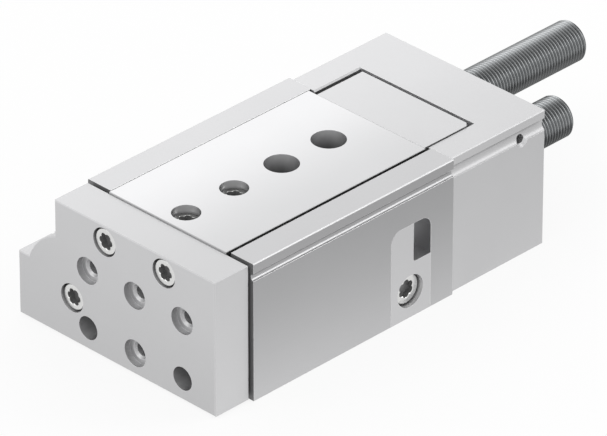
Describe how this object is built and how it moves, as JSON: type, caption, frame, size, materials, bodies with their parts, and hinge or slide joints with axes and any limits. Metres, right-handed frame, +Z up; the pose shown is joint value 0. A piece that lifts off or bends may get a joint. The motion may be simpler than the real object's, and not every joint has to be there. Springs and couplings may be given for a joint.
{
  "type": "pneumatic mini slide",
  "caption": "Compact air-driven slide: a ball-guided plate with a front yoke, a cylinder in the body's side and a shock absorber for each end of the stroke.",
  "frame": {"origin": "centre of the four tapped holes in the mounting face on the underside", "axes": "+X towards the ground side wall, +Y along the stroke towards the absorbers (the slide advances along -Y), +Z up from the mounting face"},
  "size_m": [0.0846, 0.1982, 0.0474],
  "materials": {
    "anodised_aluminium": "satin anodised",
    "turned_aluminium": "turned",
    "ground_steel": "ground",
    "polished_steel": "finely ground",
    "hard_chrome": "polished",
    "screw_steel": "nickel plated",
    "threaded_steel": "rolled thread",
    "bronze": "sintered",
    "seal_rubber": "moulded",
    "ferrite": "sintered",
    "cage_plastic": "moulded"
  },
  "bodies": {
    "housing": {"guide_body": "ground_steel", "cylinder_barrel": "anodised_aluminium", "barrel_screws": "screw_steel", "rear_block": "anodised_aluminium", "rear_block_screws": "screw_steel", "locating_dowels": "hard_chrome", "side_insert": "anodised_aluminium", "side_insert_screw": "screw_steel", "rod_gland": "turned_aluminium", "gland_retaining_ring": "screw_steel", "rod_bush": "bronze", "rod_seal": "seal_rubber", "static_seals": "seal_rubber", "end_cap": "turned_aluminium", "travel_stop": "ground_steel", "travel_stop_screw": "screw_steel", "retract_absorber": "threaded_steel", "retract_adjuster": "threaded_steel"},
    "slide": {"yoke_plate": "anodised_aluminium", "yoke_screws": "screw_steel", "rod_screw": "screw_steel", "piston_rod": "hard_chrome", "piston": "turned_aluminium", "piston_seals": "seal_rubber", "piston_bumpers": "seal_rubber", "piston_magnet": "ferrite", "slide_plate": "polished_steel", "slide_screws": "screw_steel", "cage_stop": "ground_steel", "stop_carrier": "anodised_aluminium", "carrier_screws": "screw_steel", "advance_absorber": "threaded_steel", "advance_adjuster": "threaded_steel"},
    "cages": {"ball_cages": "cage_plastic", "guide_balls": "hard_chrome"},
    "advance_plunger": {"advance_plunger": "hard_chrome"},
    "retract_plunger": {"retract_plunger": "hard_chrome"}
  },
  "joints": [
    {"name": "slide_travel", "type": "slide", "parent": "housing", "child": "slide", "axis": [0, -1, 0], "range_m": [0, 0.04]},
    {"name": "cage_travel", "type": "slide", "parent": "housing", "child": "cages", "axis": [0, -1, 0], "range_m": [0, 0.02]},
    {"name": "advance_cushion", "type": "slide", "parent": "slide", "child": "advance_plunger", "axis": [0, 1, 0], "range_m": [0, 0.008], "stiffness_N_per_m": 800},
    {"name": "retract_cushion", "type": "slide", "parent": "housing", "child": "retract_plunger", "axis": [0, 1, 0], "range_m": [0, 0.008], "stiffness_N_per_m": 800}
  ],
  "couplings": [
    {"joint": "cage_travel", "follows": "slide_travel", "ratio": 0.5}
  ]
}
